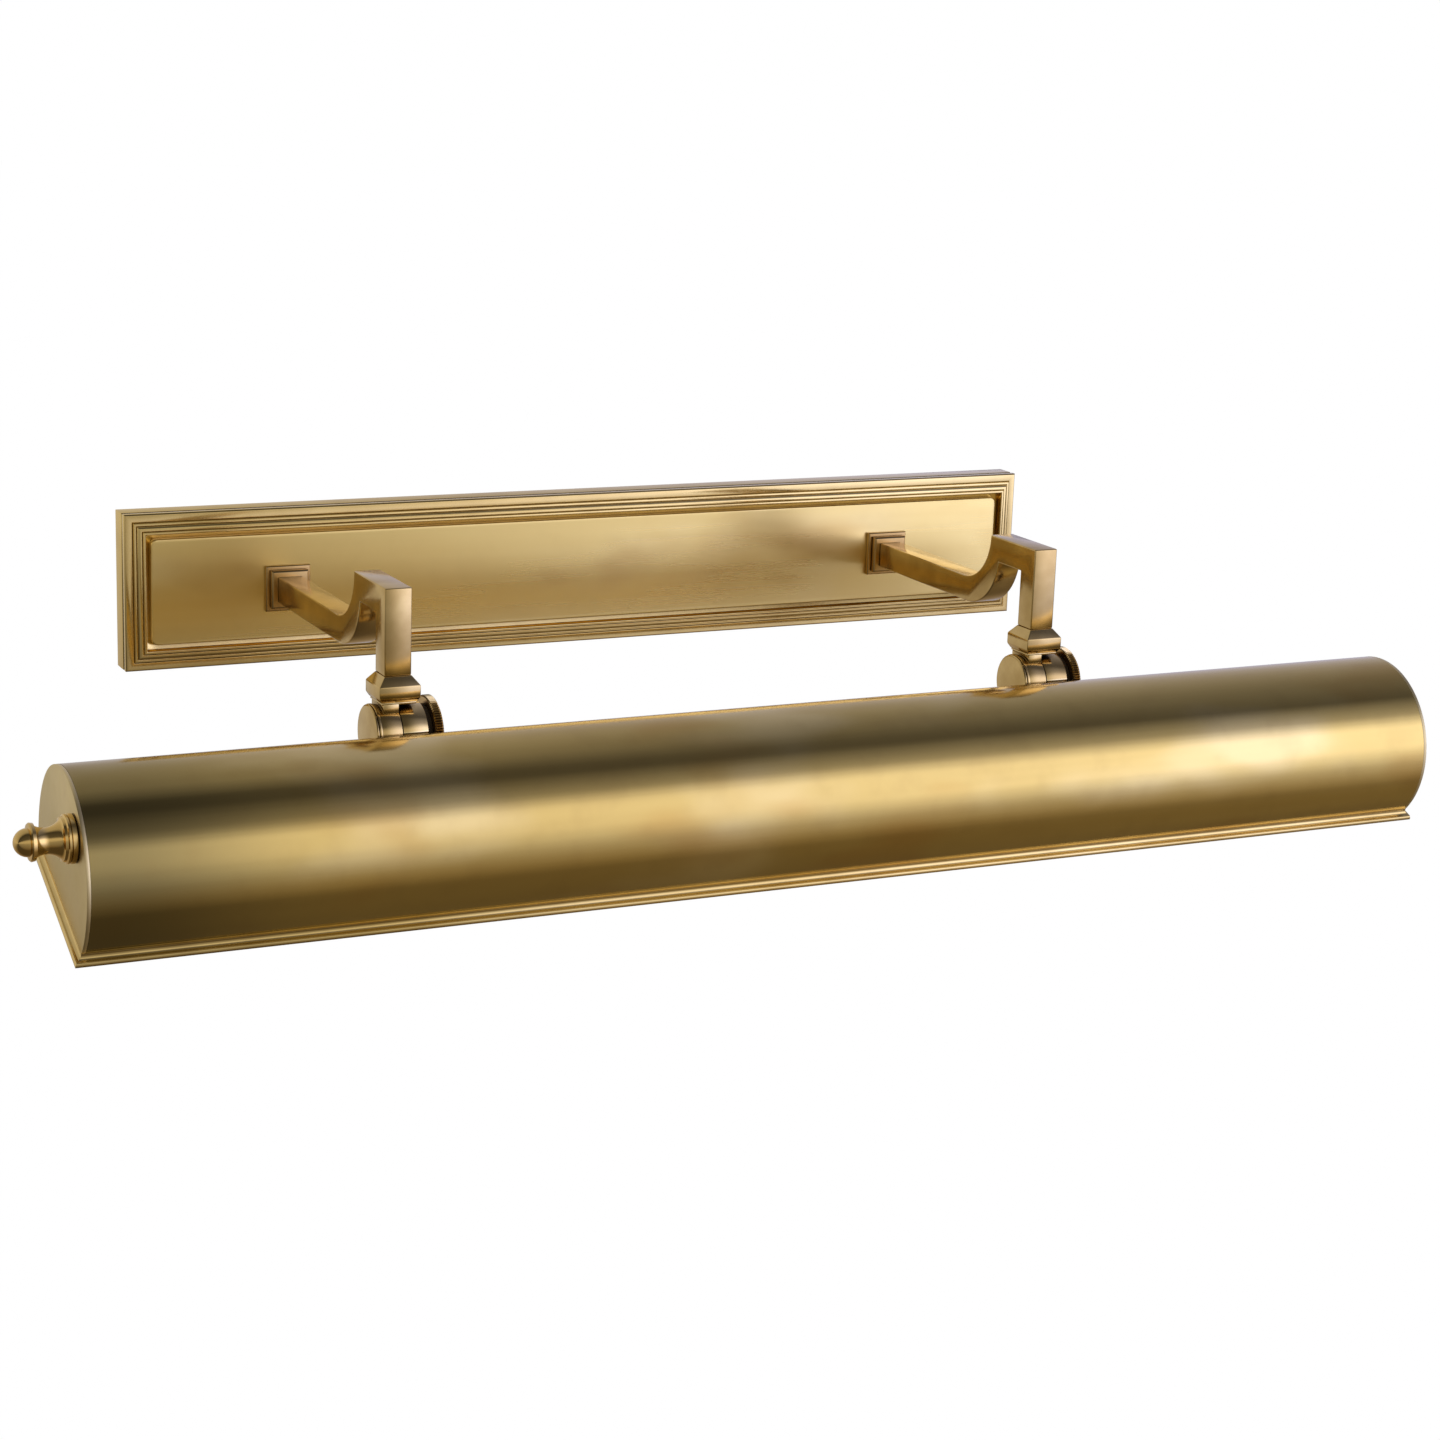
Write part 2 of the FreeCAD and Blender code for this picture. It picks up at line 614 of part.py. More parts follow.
def knuckle_moving(side, sign):
    """The shade's half of the knuckle: half a barrel on a foot that fits the shade's curve."""
    body = new_body(f"knuckle_moving_{side}")
    width = D["barrel_right"] - D["parting"]
    reach = D["shade_reach"]
    barrel = new_sketch(body, "YZ_Plane", f"knuckle_moving_{side}_barrel", D["parting"])
    circle(barrel, D["barrel_radius"])
    pad(body, barrel, width)
    foot = new_sketch(body, "YZ_Plane", f"knuckle_moving_{side}_foot", D["parting"])
    half = D["foot_half"]
    shell = D["shade_radius"]
    sag = chord_half(shell, half)
    chain(foot, [(-reach + sag, -half), (-reach + sag, half), (-8, 9.0), (-8, -9.0)],
            {0: ((-reach, 0), 1)})
    pad(body, foot, width)
    bore = new_sketch(body, "YZ_Plane", f"knuckle_moving_{side}_bore")
    circle(bore, D["bolt_radius"] + D["bolt_clearance"])
    pocket(body, bore, 60, midplane=True)
    middle = (D["parting"] + D["barrel_right"]) / 2
    for number, lean in enumerate((-D["foot_screw_lean"], D["foot_screw_lean"])):
        thread = new_sketch(body, "XY_Plane", f"knuckle_moving_{side}_thread_{number}")
        turn_plane(thread, lean)
        thread.setExpression("AttachmentOffset.Base.y", (-reach).text)
        circle(thread, D["foot_screw_radius"], middle)
        pocket(body, thread, FOOT_SCREW_TIP, backwards=True)
    return place(body, sign * ARM_X, AXIS_Y, AXIS_Z, D["shade_bearing"])


def foot_screws(side, sign):
    """Two screws from inside the shade up into the knuckle's foot."""
    inner = D["shade_radius"] - D["shade_gauge"]
    seat = chord_half(inner, D["foot_screw_head"])
    screws = []
    for number, lean in enumerate((-D["foot_screw_lean"], D["foot_screw_lean"])):
        head = doc.addObject("Part::Cylinder", f"foot_screw_head_{side}_{number}")
        head.setExpression("Radius", D["foot_screw_head"].text)
        head.Height = 1.6
        head.setExpression("Placement.Base.z", (seat - 1.6).text)
        shank = doc.addObject("Part::Cylinder", f"foot_screw_shank_{side}_{number}")
        shank.setExpression("Radius", D["foot_screw_radius"].text)
        shank.setExpression("Height", (FOOT_SCREW_TIP - seat).text)
        shank.setExpression("Placement.Base.z", seat.text)
        screw = doc.addObject("Part::MultiFuse", f"foot_screw_{side}_{number}")
        screw.Shapes = [head, shank]
        angle = 90 - D["shade_bearing"] - lean
        screw.Placement = FreeCAD.Placement(Vector(), Rotation(-X_AXIS, angle.value))
        screw.setExpression("Placement.Rotation.Angle", f"{angle.text} * 1 deg")
        screws.append(place(screw, sign * ARM_X + (D["parting"] + D["barrel_right"]) / 2, SHADE_Y, SHADE_Z))
    pair = doc.addObject("Part::MultiFuse", f"foot_screws_{side}")
    pair.Label = f"foot_screws_{side}"
    pair.Shapes = screws
    return pair


def pivot_bolt(side, sign):
    """The bolt along the knuckle's axis, with a stepped flat cap on its left end."""
    cap = D["cap_radius"]
    face = D["cap_face"]
    shank = D["bolt_radius"]
    body = turned(f"pivot_bolt_{side}", [
        (face, 0), (face, cap - 0.7), (face + 0.4, cap - 0.3), (face + 0.9, cap - 0.3),
        (face + 0.9, cap - 0.9), (face + 1.2, cap - 0.9), (face + 1.2, cap),
        (D["barrel_left"], cap), (D["barrel_left"], shank), (D["nut_right"] - 0.6, shank),
        (D["nut_right"] - 0.6, 0)])
    return place_on_axis(body, sign)


def clamp_washer(side, sign):
    """The dark friction washer in the gap beside the nut."""
    body = turned(f"clamp_washer_{side}", [
        (D["washer_left"], D["bolt_radius"]), (D["washer_left"], D["washer_radius"]),
        (D["washer_right"], D["washer_radius"]), (D["washer_right"], D["bolt_radius"])])
    return place_on_axis(body, sign)


def knurled_nut(side, sign):
    """The round nut that clamps the knuckle, with a bevelled rim."""
    bore = D["bolt_radius"] + D["bolt_clearance"]
    rim = D["nut_radius"]
    left = D["nut_left"]
    right = D["nut_right"]
    body = turned(f"knurled_nut_{side}", [
        (left, bore), (left, rim - 0.6), (left + 0.6, rim), (right - 0.6, rim), (right, rim - 0.6),
        (right, bore)])
    return place_on_axis(body, sign)


# ---------------------------------------------------------------- shade

def shade_shell():
    """The shade's brass sheet: more than half a tube, open along its lower side."""
    body = new_body("shade_shell")
    section = new_sketch(body, "YZ_Plane", "shade_shell_section")
    outer = D["shade_radius"]
    inner = outer - D["shade_gauge"]
    depth = D["chord_depth"]
    chain(section, [(chord_half(outer, depth), -depth), (-chord_half(outer, depth), -depth),
                      (-chord_half(inner, depth), -depth), (chord_half(inner, depth), -depth)],
            {0: ((0, 0), 1), 2: ((0, 0), -1)})
    pad(body, section, D["shade_length"] - D["end_gauge"] * 2, midplane=True)
    drill_shell(body)
    return place_in_shade(body)


def drill_shell(body):
    """Clearance holes through the shell for the screws of the two feet."""
    along = (D["parting"] + D["barrel_right"]) / 2 - D["shade_offset"]
    for number, lean in enumerate((-D["foot_screw_lean"], D["foot_screw_lean"])):
        holes = new_sketch(body, "XY_Plane", f"shade_shell_holes_{number}")
        turn_plane(holes, FOOT_BEARING + lean)
        for sign in SIDES.values():
            circle(holes, D["foot_screw_radius"], sign * ARM_X + along)
        pocket(body, holes, FOOT_SCREW_TIP, backwards=True)


def end_plate(side, sign):
    """A flat D-shaped plate that closes the end; the left one carries the switch."""
    body = new_body(f"end_plate_{side}")
    start = -SHADE_HALF if sign < 0 else SHADE_HALF - D["end_gauge"]
    outer = D["shade_radius"]
    depth = D["chord_depth"]
    section = new_sketch(body, "YZ_Plane", f"end_plate_{side}_section", start)
    chain(section, [(chord_half(outer, depth), -depth), (-chord_half(outer, depth), -depth)],
            {0: ((0, 0), 1)})
    pad(body, section, D["end_gauge"])
    if sign < 0:
        hole = new_sketch(body, "YZ_Plane", "end_plate_left_hole", -SHADE_HALF)
        circle(hole, D["bushing_radius"], -D["switch_back"], D["switch_up"])
        pocket(body, hole, 10, midplane=True)
    return place_in_shade(body)


def rim_frame():
    """The mitred frame round the shade's mouth: a cove above a plain square lip."""
    body = new_body("rim_frame")
    half_width = chord_half(D["shade_radius"], D["chord_depth"]) + D["rim_overhang"]
    half_length = SHADE_HALF + D["rim_overhang"]
    spine = new_sketch(body, "XY_Plane", "rim_frame_path", -D["chord_depth"])
    rectangle(spine, half_length, half_width)
    profile = new_sketch(body, "YZ_Plane", "rim_frame_profile")
    top = -D["chord_depth"]
    low = top - D["rim_height"]
    inner = half_width - D["rim_overhang"] - D["shade_gauge"] - D["rim_ledge"]
    cove = half_width - D["rim_overhang"]
    drop = top - D["rim_bead"]
    chain(profile, [(inner, low), (half_width, low), (half_width, drop - D["rim_overhang"]),
                    (cove, drop), (cove, top), (inner, top)],
          {2: ((half_width, drop), -1)})
    frame = body.newObject("PartDesign::AdditivePipe", "rim_frame_moulding")
    frame.Profile = profile
    frame.Spine = (spine, [f"Edge{number}" for number in range(1, 5)])
    frame.Transition = "Right corner"
    return place_in_shade(body)


def reflector():
    """A white inner trough above the lamps, its edges turned out to the shell."""
    body = new_body("reflector")
    section = new_sketch(body, "YZ_Plane", "reflector_section")
    shell = D["shade_radius"] - D["shade_gauge"]
    outer = D["reflector_radius"]
    inner = outer - D["reflector_gauge"]
    low = D["reflector_edge"]
    high = low + D["reflector_gauge"]
    chain(section, [
        (chord_half(outer, high), high), (-chord_half(outer, high), high),
        (-chord_half(shell, high), high), (-chord_half(shell, low), low),
        (-chord_half(inner, low), low), (chord_half(inner, low), low),
        (chord_half(shell, low), low), (chord_half(shell, high), high)],
        {0: ((0, 0), 1), 2: ((0, 0), 1), 4: ((0, 0), -1), 6: ((0, 0), 1)})
    pad(body, section, D["reflector_length"], midplane=True)
    stud_holes(body, "reflector", SIDES.values())
    return place_in_shade(body)


# ---------------------------------------------------------------- lamps

STUD_X = D["holder_mouth"] + D["holder_length"] - 10


def stud_holes(body, name, signs):
    holes = new_sketch(body, "XY_Plane", f"{name}_stud_holes")
    for sign in signs:
        circle(holes, D["stud_radius"], sign * STUD_X)
    pocket(body, holes, D["shade_radius"], backwards=True)


def lamp_bracket(side, sign):
    """An angle bracket under the reflector's crown that carries the lamp holder."""
    body = new_body(f"lamp_bracket_{side}")
    outer = D["reflector_radius"] - D["reflector_gauge"]
    inner = outer - D["bracket_sheet"]
    half = D["bracket_half"]
    back = D["holder_mouth"] + D["holder_length"] + D["bracket_sheet"]
    flat = new_sketch(body, "YZ_Plane", f"lamp_bracket_{side}_flat", sign * back)
    chain(flat, [(half, chord_half(outer, half)), (-half, chord_half(outer, half)),
                 (-half, chord_half(inner, half)), (half, chord_half(inner, half))],
          {0: ((0, 0), 1), 2: ((0, 0), -1)})
    pad(body, flat, D["bracket_flat"], backwards=sign > 0)
    upright = new_sketch(body, "YZ_Plane", f"lamp_bracket_{side}_upright", sign * back)
    low = D["lamp_level"] - D["holder_radius"] + 3
    chain(upright, [(half, chord_half(outer, half)), (-half, chord_half(outer, half)), (-half, low), (half, low)],
          {0: ((0, 0), 1)})
    pad(body, upright, D["bracket_sheet"], backwards=sign > 0)
    stud_holes(body, f"lamp_bracket_{side}", [sign])
    return place_in_shade(body)


def bracket_stud(side, sign):
    """A stud under the shade's crown with the nut that holds the bracket."""
    body = new_body(f"bracket_stud_{side}")
    flat = D["reflector_radius"] - D["reflector_gauge"] - D["bracket_sheet"]
    seat = chord_half(flat, D["stud_nut"])
    low = seat - 2.8
    stud = new_sketch(body, "XY_Plane", f"bracket_stud_{side}_stud", low)
    circle(stud, D["stud_radius"], sign * STUD_X)
    pad(body, stud, chord_half(D["shade_radius"] - D["shade_gauge"], D["stud_radius"]) - low)
    nut = new_sketch(body, "XY_Plane", f"bracket_stud_{side}_nut", low + 0.6)
    circle(nut, D["stud_nut"], sign * STUD_X)
    pad(body, nut, 2.2)
    return place_in_shade(body)


def place_lamp(item):
    """Puts a turned lamp piece on the lamps' axis."""
    tilt = D["shade_tilt"]
    level = D["lamp_level"]
    return place(item, D["shade_offset"], SHADE_Y - level * sine(tilt), SHADE_Z + level * cosine(tilt), tilt)


def lamp_holder(side, sign):
    """A round holder with a bevelled mouth and the socket for the lamp's cap."""
    mouth = D["holder_mouth"]
    radius = D["holder_radius"]
    cap = D["lamp_cap_radius"]
    depth = mouth + D["cap_length"]
    end = mouth + D["holder_length"]
    points = [(mouth, cap), (mouth, radius - 1.2), (mouth + 1.5, radius), (end, radius), (end, 0),
              (depth, 0), (depth, cap)]
    return place_lamp(turned(f"lamp_holder_{side}", [(sign * x, r) for x, r in points]))


def lamp_cap(side, sign):
    """The lamp's metal cap, seated in the holder."""
    mouth = D["holder_mouth"]
    cap = D["lamp_cap_radius"]
    end = mouth + D["cap_length"]
    points = [(mouth, 0), (mouth, cap), (end - 1.0, cap), (end, cap - 1.0), (end, 0)]
    return place_lamp(turned(f"lamp_cap_{side}", [(sign * x, r) for x, r in points]))


def lamp(side, sign):
    """A tubular glass lamp: a shoulder above the cap, a straight tube and a domed end."""
    mouth = D["holder_mouth"]
    radius = D["lamp_radius"]
    glass = D["lamp_glass"]
    cap = D["lamp_cap_radius"]
    tip = mouth - D["lamp_length"]
    dome = tip + radius
    points = [(mouth, cap - glass), (mouth, cap), (mouth - 6, radius), (dome, radius), (tip, 0),
              (tip + glass, 0), (dome, radius - glass), (mouth - 6, radius - glass)]
    arcs = {3: ((sign * dome, 0), sign), 5: ((sign * dome, 0), -sign)}
    return place_lamp(turned(f"lamp_{side}", [(sign * x, r) for x, r in points], arcs))


# ---------------------------------------------------------------- rotary switch and knob

def place_switch(item):
    """Puts a piece, made about its own X axis, on the switch's axis at the left end plate."""
    tilt = D["shade_tilt"]
    back = D["switch_back"]
    up = D["switch_up"]
    return place(item, D["shade_offset"] - SHADE_HALF,
                 SHADE_Y - back * cosine(tilt) - up * sine(tilt),
                 SHADE_Z - back * sine(tilt) + up * cosine(tilt))


def switch_body():
    """The lamp switch behind the left end plate, with its threaded bushing through the plate."""
    gauge = D["end_gauge"]
    radius = D["switch_radius"]
    end = gauge + D["switch_depth"]
    bore = D["spindle_radius"] + D["spindle_clearance"]
    bushing = D["bushing_radius"]
    return place_switch(turned("switch_body", [
        (-2.7, bore), (-2.7, bushing), (gauge, bushing), (gauge, radius), (end, radius), (end, 0),
        (end - 4, 0), (end - 4, bore)]))


def switch_nut():
    """The hexagon nut outside the end plate, hidden in the knob's hollow base."""
    body = new_body("switch_nut")
    sketch = new_sketch(body, "YZ_Plane", "switch_nut_hexagon")
    corner = D["bushing_radius"] + 2.4
    chain(sketch, hexagon(corner))
    circle(sketch, D["bushing_radius"])
    pad(body, sketch, 1.8, backwards=True)
    return place_switch(body)


def switch_spindle():
    """The spindle that the knob turns."""
    radius = D["spindle_radius"]
    end = D["end_gauge"] + D["switch_depth"] - 4.3
    return place_switch(turned("switch_spindle", [(-14, 0), (-14, radius), (end, radius), (end, 0)]))


def switch_knob():
    """The turned knob: a ringed base, a waisted neck, a round flange and a dome."""
    base = D["knob_base"]
    neck = D["knob_neck"]
    ring = D["knob_ring"]
    dome = D["knob_dome"]
    gap = D["knob_gap"]
    well = D["bushing_radius"] + 3.1
    waist = 2.95
    half = 5.6
    middle = 9.8
    sweep = (half * half + waist * waist) / (waist * 2)
    points = [
        (gap, well), (gap, base - 0.4), (gap + 0.4, base), (gap + 1.0, base), (gap + 1.2, base - 0.5),
        (gap + 1.4, base - 0.2), (2.5, base - 0.2), (3.1, base - 1.3), (3.8, base - 1.3),
        (middle - half, neck + waist), (middle + half, neck + waist), (15.7, ring), (16.9, ring),
        (17.1, ring - 0.2), (17.1, dome), (17.1 + dome, 0), (14, 0), (14, D["spindle_radius"]),
        (3.3, D["spindle_radius"]), (3.3, well)]
    arcs = {9: ((-middle, neck + sweep), -1), 14: ((-17.1, 0), 1)}
    return place_switch(turned("switch_knob", [(-as_size(x), r) for x, r in points], arcs))


# ---------------------------------------------------------------- making and writing

def make_all():
    parts = [backplate(), face_panel(), wall_bracket(), lock_screws(), terminal_block(), earth_stud(),
             nipple_washers(), shade_shell(), rim_frame(), reflector(), switch_body(), switch_nut(),
             switch_spindle(), switch_knob()]
    paired = [nipple, nipple_nut, rosette, arm, collar, knuckle_fixed, knuckle_moving, foot_screws,
              pivot_bolt, clamp_washer, knurled_nut, end_plate, lamp_bracket, bracket_stud,
              lamp_holder, lamp_cap, lamp]
    for side, sign in SIDES.items():
        for make in paired:
            parts.append(make(side, sign))
    return parts


def write_all(parts):
    doc.recompute()
    for item in doc.Objects:
        if "Invalid" in item.State or "Error" in item.State:
            raise RuntimeError(f"{item.Name} did not build: {item.State}")
    for part in parts:
        if part.Shape.isNull() or not part.Shape.isValid():
            raise RuntimeError(f"{part.Label} is not a valid solid")
    os.makedirs("parts", exist_ok=True)
    for part in parts:
        part.Shape.exportStep(os.path.join("parts", f"{part.Label}.step"))


write_all(make_all())
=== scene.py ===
import json
import math

import bmesh
import bpy
from mathutils import Matrix, Vector


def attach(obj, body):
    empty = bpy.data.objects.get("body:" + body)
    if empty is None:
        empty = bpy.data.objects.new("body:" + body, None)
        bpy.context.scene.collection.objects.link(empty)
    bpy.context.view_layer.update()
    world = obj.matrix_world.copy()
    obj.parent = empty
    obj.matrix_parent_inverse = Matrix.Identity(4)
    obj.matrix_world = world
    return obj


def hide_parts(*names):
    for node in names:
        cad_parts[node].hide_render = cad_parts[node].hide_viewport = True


# A brass picture light. Shapes are made in millimetres and brought to metres as each piece is finished.

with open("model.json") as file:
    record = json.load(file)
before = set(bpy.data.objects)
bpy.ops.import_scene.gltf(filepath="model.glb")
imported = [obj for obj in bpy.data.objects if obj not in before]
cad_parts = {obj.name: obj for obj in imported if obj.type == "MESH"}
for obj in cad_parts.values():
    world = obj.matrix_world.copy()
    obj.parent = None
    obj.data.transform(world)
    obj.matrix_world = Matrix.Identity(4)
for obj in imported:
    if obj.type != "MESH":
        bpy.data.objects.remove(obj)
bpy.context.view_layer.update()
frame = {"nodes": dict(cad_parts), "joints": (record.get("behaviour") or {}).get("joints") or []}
nodes = frame["nodes"]

MM = 0.001
SIDES = {"left": -1, "right": 1}
JOINTS = {joint["name"]: joint for joint in frame["joints"]}

# the places that the pieces are made around, in millimetres and radians
KNUCKLE = Vector(JOINTS["shade_tilt"]["pos_m"]) / MM
SWITCH = Vector(JOINTS["switch_turn"]["pos_m"]) / MM
ARM_X = 152.0
ARM_LEVEL = -0.8
PANEL_FRONT = 15.4
SHADE_RADIUS = 38.1
SHADE_HALF = 304.8
SHADE_TILT = math.radians(22.3)
FOOT_TURN = math.radians(31.0)
SHADE_REACH = 54.0
CHORD = -14.2
SEAM = 303.2
RIM_LIP = 2.4
BOLT_HOLE = 3.9
BARREL = 12.8
shade_centre = Vector((5.65, KNUCKLE.y - SHADE_REACH * math.cos(FOOT_TURN),
                       KNUCKLE.z - SHADE_REACH * math.sin(FOOT_TURN)))
SHADE_PLACE = Matrix.Translation(shade_centre) @ Matrix.Rotation(SHADE_TILT, 4, "X")


# ---------------------------------------------------------------- shaping

def knuckle_place(sign, turn=0.0):
    return Matrix.Translation((sign * ARM_X, KNUCKLE.y, KNUCKLE.z)) @ Matrix.Rotation(turn, 4, "X")


def outline(bm, points, arcs=None, closed=True, steps=16):
    """Draws points given as (y, z), edge by edge. arcs maps an edge's number to its centre and turning sense."""
    arcs = arcs or {}
    last = first = bm.verts.new((0, *points[0]))
    targets = points[1:] + points[:1] if closed else points[1:]
    for number, target in enumerate(targets):
        if number in arcs:
            centre, sense = arcs[number]
            start_angle, end_angle = [math.atan2(z - centre[1], y - centre[0])
                                      for y, z in ((last.co.y, last.co.z), target)]
            sweep = (end_angle - start_angle) * sense % math.tau * sense
            made = bmesh.ops.spin(bm, geom=[last], cent=(0, *centre), axis=(1, 0, 0), angle=sweep, steps=steps)
            last = made["geom_last"][0]
            last.co = (0, *target)
        else:
            following = bm.verts.new((0, *target))
            bm.edges.new((last, following))
            last = following
    if closed:
        bmesh.ops.pointmerge(bm, verts=[first, last], merge_co=first.co)


def prism(points, start, end, arcs=None, steps=16):
    """A solid between two X positions with the outline as its section."""
    bm = bmesh.new()
    outline(bm, points, arcs, steps=steps)
    made = bmesh.ops.contextual_create(bm, geom=bm.edges[:])
    bmesh.ops.translate(bm, verts=bm.verts[:], vec=(start, 0, 0))
    pushed = bmesh.ops.extrude_face_region(bm, geom=made["faces"], use_keep_orig=True)
    moved = [item for item in pushed["geom"] if isinstance(item, bmesh.types.BMVert)]
    bmesh.ops.translate(bm, verts=moved, vec=(end - start, 0, 0))
    return bm


def turned(points, arcs=None, around=72, steps=10):
    """A solid turned about X from (along, radius) points that start and end on the axis, or a closed ring."""
    bm = bmesh.new()
    ring = min(points[0][1], points[-1][1]) > 0
    outline(bm, points, arcs, closed=ring, steps=steps)
    # the outline was drawn as (y, z): y runs along the piece and z is the radius
    along_x = Matrix(((0, 1, 0), (1, 0, 0), (0, 0, 1))).to_4x4()
    bmesh.ops.transform(bm, matrix=along_x, verts=bm.verts[:])
    bmesh.ops.spin(bm, geom=bm.verts[:] + bm.edges[:], cent=(0, 0, 0), axis=(1, 0, 0), angle=math.tau,
                   steps=around, use_merge=True)
    bmesh.ops.remove_doubles(bm, verts=bm.verts[:], dist=0.001)
    return bm


def squared(points, arcs=None, ring=False, steps=8):
    """A square piece about Y, mitred at its corners, from (depth, half width) points."""
    bm = bmesh.new()
    outline(bm, points, arcs, closed=ring, steps=steps)
    # a quarter turn four times over joins the outline at 45 degrees, so it starts on that diagonal
    for vert in bm.verts:
        vert.co.x = vert.co.z
    bmesh.ops.spin(bm, geom=bm.verts[:] + bm.edges[:], cent=(0, 0, 0), axis=(0, 1, 0), angle=math.tau,
                   steps=4, use_merge=True)
    bmesh.ops.remove_doubles(bm, verts=bm.verts[:], dist=0.001)
    return bm


def drawn_out(bm, half_extra):
    """Pulls the two ends of a square piece apart along X, which makes it a long rectangle."""
    for sign in SIDES.values():
        verts = [vert for vert in bm.verts if vert.co.x * sign > 0.001]
        bmesh.ops.translate(bm, verts=verts, vec=(sign * half_extra, 0, 0))
    return bm


def block(low, high):
    """A box between two corners."""
    bm = bmesh.new()
    size = Vector(high) - Vector(low)
    middle = (Vector(high) + Vector(low)) / 2
    bmesh.ops.create_cube(bm, size=1, matrix=Matrix.Translation(middle) @ Matrix.Diagonal((*size, 1)))
    return bm


def eased(bm, width, segments=2, angle=25, test=None):
    """Rounds every edge that turns more than this angle."""
    bmesh.ops.recalc_face_normals(bm, faces=bm.faces[:])
    edges = [edge for edge in bm.edges
             if len(edge.link_faces) == 2 and edge.calc_face_angle() > math.radians(angle)
             and (test is None or test(edge))]
    bmesh.ops.bevel(bm, geom=edges, offset=width, offset_type="OFFSET", affect="EDGES", segments=segments,
                    profile=0.5, material=-1, clamp_overlap=True, loop_slide=True)
    return bm


def put_together(*parts):
    """Gathers closed shapes into one mesh."""
    whole = bmesh.new()
    for bm in parts:
        mesh = bpy.data.meshes.new("shape")
        bm.to_mesh(mesh)
        bm.free()
        whole.from_mesh(mesh)
        bpy.data.meshes.remove(mesh)
    return whole


def finished(bm, name, body, material, replaced, place=Matrix(), smooth=40):
    """Turns a shape into a named piece on a body of the light."""
    bmesh.ops.recalc_face_normals(bm, faces=bm.faces[:])
    bmesh.ops.transform(bm, matrix=Matrix.Diagonal((MM, MM, MM, 1)) @ place, verts=bm.verts[:])
    mesh = bpy.data.meshes.new(name)
    bm.to_mesh(mesh)
    bm.free()
    mesh.polygons.foreach_set("use_smooth", [True] * len(mesh.polygons))
    mesh.set_sharp_from_angle(angle=math.radians(smooth))
    mesh.materials.append(material)
    piece = bpy.data.objects.new(name, mesh)
    bpy.context.scene.collection.objects.link(piece)
    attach(piece, body)
    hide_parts(*replaced)
    return piece


# ---------------------------------------------------------------- finishes

class Value:
    """A node's output that adds Math nodes when it is used in arithmetic."""

    def __init__(self, graph, socket):
        self.graph = graph
        self.socket = socket

    def maths(self, operation, *others, swap=False):
        inputs = [self, *others]
        if swap:
            inputs.reverse()
        return self.graph.add("ShaderNodeMath", {"operation": operation}, dict(enumerate(inputs)))

    def __add__(self, other):
        return self.maths("ADD", other)

    def __sub__(self, other):
        return self.maths("SUBTRACT", other)

    def __mul__(self, other):
        return self.maths("MULTIPLY", other)

    def __truediv__(self, other):
        return self.maths("DIVIDE", other)

    def __rsub__(self, other):
        return self.maths("SUBTRACT", other, swap=True)

    __radd__ = __add__
    __rmul__ = __mul__

    def between(self, low, high):
        """0 at low, 1 at high, and smooth between them."""
        return self.graph.add("ShaderNodeMapRange", {"interpolation_type": "SMOOTHSTEP"},
                              {"Value": self, "From Min": low, "From Max": high})


class Graph:
    """A node tree written as expressions."""

    def __init__(self, tree):
        self.tree = tree
        tree.nodes.clear()

    def add(self, kind, settings=None, inputs=None, output=0):
        node = self.tree.nodes.new(kind)
        for name, value in (settings or {}).items():
            if name == "stops":
                self.set_stops(node.color_ramp, value)
            else:
                setattr(node, name, value)
        for key, value in (inputs or {}).items():
            if isinstance(value, Value):
                self.tree.links.new(value.socket, node.inputs[key])
            else:
                node.inputs[key].default_value = value
        return Value(self, node.outputs[output]) if len(node.outputs) else None

    @staticmethod
    def set_stops(ramp, stops):
        while len(ramp.elements) < len(stops):
            ramp.elements.new(0.5)
        for element, (position, colour) in zip(ramp.elements, stops):
            element.position = position
            element.color = (*colour, 1)

    def blend(self, factor, first, second):
        first = (*first, 1) if isinstance(first, tuple) else first
        second = (*second, 1) if isinstance(second, tuple) else second
        return self.add("ShaderNodeMix", {"data_type": "RGBA"}, {0: factor, 6: first, 7: second}, output=2)

    def place(self, stretch=(1, 1, 1)):
        """The place on the piece, stretched so that a pattern can run along one direction."""
        here = self.add("ShaderNodeTexCoord", output="Object")
        return self.add("ShaderNodeMapping", inputs={"Vector": here, "Scale": stretch})

    def noise(self, scale, detail=2.0, stretch=(1, 1, 1), roughness=0.5):
        return self.add("ShaderNodeTexNoise", {"noise_dimensions": "3D"},
                        {"Vector": self.place(stretch), "Scale": scale, "Detail": detail, "Roughness": roughness})

    def surface(self, kind, inputs):
        shader = self.add(kind, inputs=inputs)
        self.add("ShaderNodeOutputMaterial", inputs={"Surface": shader})


def new_material(name):
    material = bpy.data.materials.new(name)
    material.use_nodes = True
    return material, Graph(material.node_tree)


ALONG_X = (0.02, 1, 1)
EVEN = (1, 1, 1)
# colour for darker hollows: partly brass patinated there, partly painted shade
PATINA_AND_SHADE = (0.10, 0.055, 0.016)
# colour for lighter edges: partly polish from rubbing, partly painted highlight
POLISH_AND_HIGHLIGHT = (0.95, 0.80, 0.46)
SPOT = (0.36, 0.22, 0.07)
PALE = (0.97, 0.80, 0.40)
TAN = (0.60, 0.36, 0.09)
# colour of painted shade towards the knob's end of the shade
END_SHADE_TONE = (0.24, 0.20, 0.09)
EDGE_REACH = 0.0009


